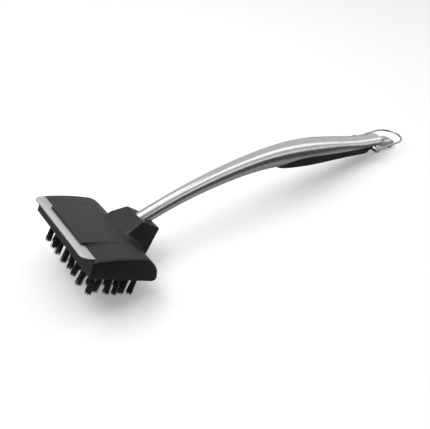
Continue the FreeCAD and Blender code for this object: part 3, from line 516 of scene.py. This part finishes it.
@dataclass
class Head:
    """The moulded head with its block, blade and screws.

    Places on the head are taken in its own frame: x runs back from the front edge, z runs up
    from the rim. The neck's foot lies between neck_front and neck_back, up to neck_half to each
    side, from root_low to root_high, and each *_fade is how far the smoothing takes to set in.
    """

    grain_size: float = 0.72 * MM
    edge_passes: int = 5
    root_passes: int = 190
    neck_front: float = 26.0 * MM
    neck_back: float = 66.0 * MM
    neck_half: float = 31.0 * MM
    root_low: float = 12.0 * MM
    root_high: float = 27.0 * MM
    front_fade: float = 8.0 * MM
    back_reach: float = 4.0 * MM
    side_fade: float = 6.0 * MM
    height_fade: float = 3.0 * MM
    corner_reach: float = 7.0 * MM
    corner_strength: float = 1.6
    blade_edge: float = 0.3 * MM
    frame_in: Matrix = field(init=False)
    half: float = field(init=False)
    deep: float = field(init=False)

    def __post_init__(self) -> None:
        """Finds the head's own frame and its size in it."""
        skin = frame["nodes"]["head_shell"].data.vertices
        front = min(skin, key=lambda vertex: vertex.co.x).co
        up = -tuft_direction()
        back = Vector((up.z, 0, -up.x))
        axes = Matrix((back, Vector((0, 1, 0)), up)).to_4x4()
        self.frame_in = axes @ Matrix.Translation((-front.x, 0, -front.z))
        self.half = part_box("head_shell")[1].y
        rim = (self.frame_in @ vertex.co for vertex in skin)
        self.deep = max(spot.x for spot in rim if spot.z < self.root_low)

    def _soften_by_place(self, shell: bpy.types.Object, name: str, passes: int,
                         weight: Callable[[Vector], float]) -> None:
        """Smooths the shell where the weight says.

        Args:
            shell: The shell.
            name: Names the vertex group.
            passes: How often it is smoothed.
            weight: From a place in the head's own frame to a strength from 0 to 1.
        """
        group = shell.vertex_groups.new(name=name)
        for vertex in shell.data.vertices:
            strength = weight(self.frame_in @ vertex.co)
            if strength > 0.0:
                group.add([vertex.index], strength, "REPLACE")
        smooth = shell.modifiers.new(name, "SMOOTH")
        smooth.iterations = passes
        smooth.vertex_group = name

    def _root_weight(self, spot: Vector) -> float:
        """Tells how strongly a place belongs to the foot of the neck.

        Args:
            spot: The place, in the head's own frame.

        Returns:
            From 0 for not at all to 1 for wholly.
        """
        ahead = spot.x - self.neck_front + self.front_fade
        behind = self.neck_back - spot.x + self.back_reach
        along = min(ahead, behind) / self.front_fade
        across = (self.neck_half - abs(spot.y)) / self.side_fade
        up = min(spot.z - self.root_low, self.root_high - spot.z) / self.height_fade
        return max(0.0, min(1.0, along, across, up))

    def _corner_weight(self, spot: Vector) -> float:
        """Tells how strongly a place belongs to the back corners of the rim.

        Args:
            spot: The place, in the head's own frame.

        Returns:
            From 0 for not at all to 1 for wholly.
        """
        if spot.z >= self.root_low:
            return 0.0
        back = spot.x - self.deep + self.corner_reach
        side = abs(spot.y) - self.half + self.corner_reach
        return max(0.0, min(1.0, self.corner_strength * min(back, side) / self.corner_reach))

    def _shell(self) -> str:
        """Makes the moulded shell with its soft edges and the neck running into the crown.

        Returns:
            The piece's name.
        """
        shell = take_copy("head_shell", "head_cover")
        remesh = shell.modifiers.new("even_skin", "REMESH")
        remesh.mode = "VOXEL"
        remesh.voxel_size = self.grain_size
        remesh.use_smooth_shade = True
        apply_modifiers(shell)
        self._soften_by_place(shell, "neck_root", self.root_passes, self._root_weight)
        self._soften_by_place(shell, "rim_corners", self.root_passes, self._corner_weight)
        self._soften_by_place(shell, "all_edges", self.edge_passes, lambda spot: 1.0)
        apply_modifiers(shell)
        shell.vertex_groups.clear()
        dress(shell, HEAD_PLASTIC)
        return take_place(shell, "head_shell")

    def _blade(self) -> str:
        """Makes the steel strip with its edges taken off.

        Returns:
            The piece's name.
        """
        blade = take_copy("scraper_blade", "blade_strip")
        soften(blade, self.blade_edge, corner=30.0)
        dress(blade, BLADE_STEEL)
        return take_place(blade, "scraper_blade")

    def build(self) -> list[str]:
        """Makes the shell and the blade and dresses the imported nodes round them.

        Returns:
            The names of all its pieces.
        """
        return [self._shell(), self._blade()] + dress_nodes({
            "bristle_block": BLOCK_PLASTIC, "block_screws": ZINC, "blade_screws": ZINC,
            "handle_screw": ZINC, "tuft_anchors": ZINC})


@dataclass
class BristleField:
    """The tufts: bundles of separate filaments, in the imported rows."""

    rows: int = 6
    columns: int = 8
    filaments: int = 48
    filament_radius: float = 0.25 * MM
    filament_sides: int = 5
    filament_cuts: tuple[float, ...] = (0.25, 0.5, 0.75, 0.93)
    tip_taper: float = 0.45
    root_radius: float = 2.45 * MM
    tip_radius: float = 2.55 * MM
    splay: float = 1.32
    lean: float = math.radians(2.2)
    shorter_by: float = 0.8 * MM
    wander: float = 0.27 * MM
    spiral_slip: float = 0.2
    patterns: int = 6
    floor_gap: float = 0.05 * MM
    seed: int = 41

    def _filament(self, length: float) -> bpy.types.Object:
        """Models one filament: a thin tube with a narrowed tip.

        Args:
            length: Root to tip.

        Returns:
            The filament, with its root at the origin and its tip down -z.
        """
        bpy.ops.object.select_all(action="DESELECT")
        bpy.ops.mesh.primitive_cylinder_add(vertices=self.filament_sides, radius=self.filament_radius,
                                            depth=length, end_fill_type="NGON",
                                            location=(0, 0, -length / 2))
        strand = bpy.context.active_object
        strand.name = "filament"
        bpy.ops.object.transform_apply(location=True, rotation=True, scale=True)
        bpy.ops.object.mode_set(mode="EDIT")
        for cut in self.filament_cuts:
            bpy.ops.mesh.select_all(action="SELECT")
            bpy.ops.mesh.bisect(plane_co=(0, 0, -length * cut), plane_no=(0, 0, 1))
        bpy.ops.object.mode_set(mode="OBJECT")
        below_cuts = -length * (1 + max(self.filament_cuts)) / 2
        for vertex in strand.data.vertices:
            if vertex.co.z < below_cuts:
                vertex.co.x *= self.tip_taper
                vertex.co.y *= self.tip_taper
        bpy.ops.object.shade_smooth()
        return strand

    def _tuft(self, strand: bpy.types.Object, length: float, rng: random.Random) -> bpy.types.Object:
        """Copies the filament into one tuft, evenly spread and a little unruly.

        Args:
            strand: The filament.
            length: Root to tip.
            rng: The source of the unevenness.

        Returns:
            The tuft, with its root at the origin and its tips down -z.
        """
        golden_turn = math.pi * (3 - math.sqrt(5))
        copies = []
        for number in range(self.filaments):
            share = math.sqrt((number + 0.5) / self.filaments)
            angle = number * golden_turn + rng.uniform(-self.spiral_slip, self.spiral_slip)
            aim = Vector((math.cos(angle), math.sin(angle), 0))
            root = aim * (self.root_radius - self.filament_radius) * share
            tip = aim * (self.tip_radius * self.splay - self.filament_radius) * share
            tip += Vector((rng.gauss(0, self.wander), rng.gauss(0, self.wander), 0))
            shorter = 1 - abs(rng.gauss(0, self.shorter_by)) / length
            copy = own_copy(strand)
            for vertex in copy.data.vertices:
                down = -vertex.co.z / length
                vertex.co += root.lerp(tip, down * down)
                vertex.co.z *= shorter
            copies.append(copy)
        return join(copies)

    def _row(self, row: int, tufts: list[bpy.types.Object], down: Vector, rng: random.Random) -> str:
        """Fills one packed row with tufts.

        Args:
            row: The row's number, from the front.
            tufts: The tuft patterns to choose from.
            down: The way the tufts point.
            rng: The source of the unevenness.

        Returns:
            The piece's name.
        """
        node = "tuft_row_%d" % row
        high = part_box(node)[1]
        root = Vector((high.x - self.root_radius * abs(down.z), 0, high.z - self.root_radius * abs(down.x)))
        outer = high.y - self.tip_radius
        stand = Vector((0, 0, -1)).rotation_difference(down).to_matrix().to_4x4()
        copies = []
        for column in range(self.columns):
            copy = own_copy(rng.choice(tufts))
            across = outer * (2 * column / (self.columns - 1) - 1)
            spin = Matrix.Rotation(rng.uniform(0, 2 * math.pi), 4, "Z")
            tip_over = (Matrix.Rotation(rng.gauss(0, self.lean), 4, "X")
                        @ Matrix.Rotation(rng.gauss(0, self.lean), 4, "Y"))
            copy.data.transform(Matrix.Translation(root + Vector((0, across, 0))) @ stand @ tip_over @ spin)
            copies.append(copy)
        bundle = join(copies)
        bundle.name = "bristles_%d" % row
        for vertex in bundle.data.vertices:
            vertex.co.z = max(vertex.co.z, self.floor_gap)
        dress(bundle, BRISTLE)
        return take_place(bundle, node)

    def build(self) -> list[str]:
        """Models the filament, the tuft patterns and the six rows.

        Returns:
            The names of all its pieces.
        """
        rng = random.Random(self.seed)
        down = tuft_direction()
        low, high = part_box("tuft_row_1")
        reach = (self.root_radius + self.tip_radius) * abs(down.x)
        length = (high.z - low.z - reach) / abs(down.z)
        strand = self._filament(length)
        tufts = [self._tuft(strand, length, rng) for _ in range(self.patterns)]
        rows = [self._row(row, tufts, down, rng) for row in range(1, self.rows + 1)]
        for spare in [strand] + tufts:
            bpy.data.objects.remove(spare)
        return rows


# ---------------------------------------------------------------- handle and tail

@dataclass
class Handle:
    """The steel tube, the rubber grip let into it, its cap and what holds them."""

    pad_edge: float = 0.6 * MM
    cap_edge: float = 0.4 * MM

    def _pad(self) -> str:
        """Makes the rubber grip.

        Returns:
            The piece's name.
        """
        pad = take_copy("grip_pad", "palm_rubber")
        soften(pad, self.pad_edge, corner=40.0)
        dress(pad, GRIP_RUBBER)
        return take_place(pad, "grip_pad")

    def _cap(self) -> str:
        """Makes the cap in the tail.

        Returns:
            The piece's name.
        """
        cap = take_copy("end_cap", "tail_cap")
        soften(cap, self.cap_edge, corner=35.0)
        dress(cap, CAP_STEEL)
        return take_place(cap, "end_cap")

    def build(self) -> list[str]:
        """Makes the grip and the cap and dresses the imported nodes.

        Returns:
            The names of all its pieces.
        """
        return [self._pad(), self._cap()] + dress_nodes({
            "handle_tube": TUBE_STEEL, "grip_carrier": CARRIER_PLASTIC, "tube_plug": TURNED,
            "cap_screw": ZINC})


@dataclass
class HangingRing:
    """The cross pin, its bushes and the wire ring that swings on them."""

    def build(self) -> list[str]:
        """Dresses the pin, the bushes and the ring.

        Returns:
            The names of all its pieces.
        """
        return dress_nodes({"ring_pin": TURNED, "pin_bushes": TURNED, "hanging_ring": WIRE})


# ---------------------------------------------------------------- studio

@dataclass
class Studio:
    """A pale floor, soft light and the camera.

    Brightness in sky_bands is given against degrees from overhead, where minus is towards -y.
    sky_fade dims it along x, from 0 at -x to 1 at +x. To glossy rays the floor shows painted shade in
    painted_reflection_tones over the stretch of y in painted_reflection_reach, darker towards -y,
    so the steel shows a painted dark reflection in front.
    """

    floor_size: float = 8.0
    floor_roughness: float = 0.9
    floor_specular: float = 0.1
    eye: tuple[float, float, float] = (-0.32647, -0.3763, 0.36734)
    heading: float = 54.56
    pitch: float = 37.82
    lens: float = 46.84
    sensor: float = 36.0
    floor_tone: float = 0.9
    floor_lift: float = 0.27
    painted_reflection_reach: tuple[float, float] = (-0.15, -0.05)
    painted_reflection_tones: tuple[float, float] = (0.07, 0.42)
    key_place: tuple[float, float, float] = (-0.4, 0.36, 1.15)
    key_size: float = 1.0
    key_power: float = 9.5
    sky_peak: float = 1.8
    sky_seen: float = 0.53
    sky_bands: tuple[tuple[float, float], ...] = (
        (-90.0, 0.06), (-74.0, 0.07), (-65.0, 1.15), (-58.0, 1.15), (-48.0, 0.5), (-28.0, 0.52),
        (-18.0, 1.8), (-5.0, 1.8), (8.0, 0.58), (30.0, 0.7), (52.0, 0.62), (70.0, 0.7), (90.0, 0.85))
    sky_fade: tuple[tuple[float, float], ...] = ((0.0, 0.05), (0.46, 0.12), (0.6, 1.0), (1.0, 1.0))

    def _floor(self) -> None:
        """Lays a seamless pale floor whose colour to glossy rays is painted shade, dark in front (towards
        -y) and pale underneath, which the steel mirrors as a painted reflection.
        """
        bpy.ops.object.select_all(action="DESELECT")
        bpy.ops.mesh.primitive_plane_add(size=self.floor_size)
        floor = bpy.context.active_object
        floor.name = "floor"
        paint = bpy.data.materials.new("floor_paint")
        paint.use_nodes = True
        shader = paint.node_tree.nodes["Principled BSDF"]
        build = NodeBuilder(paint.node_tree)
        place = build.add("ShaderNodeTexCoord")
        parts = build.add("ShaderNodeSeparateXYZ")
        build.link(place.outputs["Object"], parts.inputs["Vector"])
        # Painted shade: to glossy rays only, the floor's colour falls towards -y, a painted dark reflection
        # in the steel; the camera still sees the even pale floor.
        painted_reflection_shade = build.add("ShaderNodeMapRange")
        painted_reflection_shade.inputs["From Min"].default_value = self.painted_reflection_reach[0]
        painted_reflection_shade.inputs["From Max"].default_value = self.painted_reflection_reach[1]
        painted_reflection_shade.inputs["To Min"].default_value = self.painted_reflection_tones[0]
        painted_reflection_shade.inputs["To Max"].default_value = self.painted_reflection_tones[1]
        build.link(parts.outputs["Y"], painted_reflection_shade.inputs["Value"])
        rays = build.add("ShaderNodeLightPath")
        tone = build.add("ShaderNodeMix", data_type="FLOAT")
        tone.inputs["A"].default_value = self.floor_tone
        build.link(rays.outputs["Is Glossy Ray"], tone.inputs["Factor"])
        build.link(painted_reflection_shade.outputs["Result"], tone.inputs["B"])
        build.link(tone.outputs["Result"], shader.inputs["Base Color"])
        lift = build.add("ShaderNodeMath", operation="MULTIPLY")
        lift.inputs[1].default_value = self.floor_lift
        build.link(rays.outputs["Is Camera Ray"], lift.inputs[0])
        build.link(lift.outputs["Value"], shader.inputs["Emission Strength"])
        shader.inputs["Emission Color"].default_value = (1.0, 1.0, 1.0, 1.0)
        shader.inputs["Roughness"].default_value = self.floor_roughness
        shader.inputs["Specular IOR Level"].default_value = self.floor_specular
        floor.data.materials.append(paint)

    def _key(self) -> None:
        """Hangs the soft square key lamp, which faces the brush."""
        data = bpy.data.lights.new("key", "AREA")
        data.size = self.key_size
        data.energy = self.key_power
        lamp = bpy.data.objects.new("key", data)
        lamp.location = self.key_place
        lamp.rotation_euler = (-Vector(self.key_place)).to_track_quat("-Z", "Y").to_euler()
        bpy.context.scene.collection.objects.link(lamp)

    def _ramp(self, build: NodeBuilder, stops: tuple[tuple[float, float], ...]) -> bpy.types.Node:
        """Adds a grey ramp.

        Args:
            build: The builder to add it with.
            stops: Positions from 0 to 1, each with its brightness.

        Returns:
            The ramp node.
        """
        node = build.add("ShaderNodeValToRGB")
        elements = node.color_ramp.elements
        while len(elements) < len(stops):
            elements.new(0.5)
        for element, (position, bright) in zip(elements, stops):
            element.position = position
            element.color = (bright, bright, bright, 1.0)
        return node

    def _sky(self) -> None:
        """Sets a surround banded across y, so that steel along x shows lengthwise bands."""
        world = bpy.data.worlds.new("studio")
        world.use_nodes = True
        bpy.context.scene.world = world
        build = NodeBuilder(world.node_tree)
        place = build.add("ShaderNodeTexCoord")
        parts = build.add("ShaderNodeSeparateXYZ")
        build.link(place.outputs["Generated"], parts.inputs["Vector"])

        lean = build.add("ShaderNodeMath", operation="ARCTAN2")
        build.link(parts.outputs["Y"], lean.inputs[0])
        build.link(parts.outputs["Z"], lean.inputs[1])
        turn = build.add("ShaderNodeMapRange")
        turn.inputs["From Min"].default_value = -math.pi / 2
        turn.inputs["From Max"].default_value = math.pi / 2
        build.link(lean.outputs["Value"], turn.inputs["Value"])
        bands = self._ramp(build, tuple(((degrees + 90.0) / 180.0, bright / self.sky_peak)
                                        for degrees, bright in self.sky_bands))
        build.link(turn.outputs["Result"], bands.inputs["Fac"])

        along = build.add("ShaderNodeMapRange")
        along.inputs["From Min"].default_value = -1.0
        along.inputs["From Max"].default_value = 1.0
        build.link(parts.outputs["X"], along.inputs["Value"])
        fade = self._ramp(build, self.sky_fade)
        build.link(along.outputs["Result"], fade.inputs["Fac"])

        both = build.add("ShaderNodeMix", data_type="RGBA", blend_type="MULTIPLY")
        both.inputs["Factor"].default_value = 1.0
        build.link(bands.outputs["Color"], both.inputs["A"])
        build.link(fade.outputs["Color"], both.inputs["B"])
        rays = build.add("ShaderNodeLightPath")
        seen = build.add("ShaderNodeMix", data_type="RGBA")
        seen.inputs["B"].default_value = (self.sky_seen, self.sky_seen, self.sky_seen, 1.0)
        build.link(rays.outputs["Is Camera Ray"], seen.inputs["Factor"])
        build.link(both.outputs["Result"], seen.inputs["A"])
        sky = world.node_tree.nodes["Background"]
        build.link(seen.outputs["Result"], sky.inputs["Color"])
        sky.inputs["Strength"].default_value = self.sky_peak

    def _camera(self) -> None:
        """Sets up the camera."""
        data = bpy.data.cameras.new("camera")
        data.lens = self.lens
        data.sensor_width = self.sensor
        camera = bpy.data.objects.new("camera", data)
        camera.location = self.eye
        heading, pitch = math.radians(self.heading), math.radians(self.pitch)
        aim = Vector((math.cos(heading) * math.cos(pitch), math.sin(heading) * math.cos(pitch),
                      -math.sin(pitch)))
        camera.rotation_euler = aim.to_track_quat("-Z", "Y").to_euler()
        bpy.context.scene.collection.objects.link(camera)
        bpy.context.scene.camera = camera

    def build(self) -> list[str]:
        """Makes the camera, the floor, the sky and the lamp.

        Returns:
            The names of what it adds.
        """
        self._camera()
        self._floor()
        self._sky()
        self._key()
        bpy.context.scene.view_settings.view_transform = "Standard"
        return ["camera", "floor", "sky", "key"]


def main() -> None:
    """Builds the studio and every sub-assembly, in order, and reports each piece."""
    logging.basicConfig(level=logging.INFO, format="%(message)s")
    for part in (Studio(), Head(), BristleField(), Handle(), HangingRing()):
        for piece in part.build():
            LOG.info("%s: %s", type(part).__name__, piece)


if __name__ == "__main__":
    main()
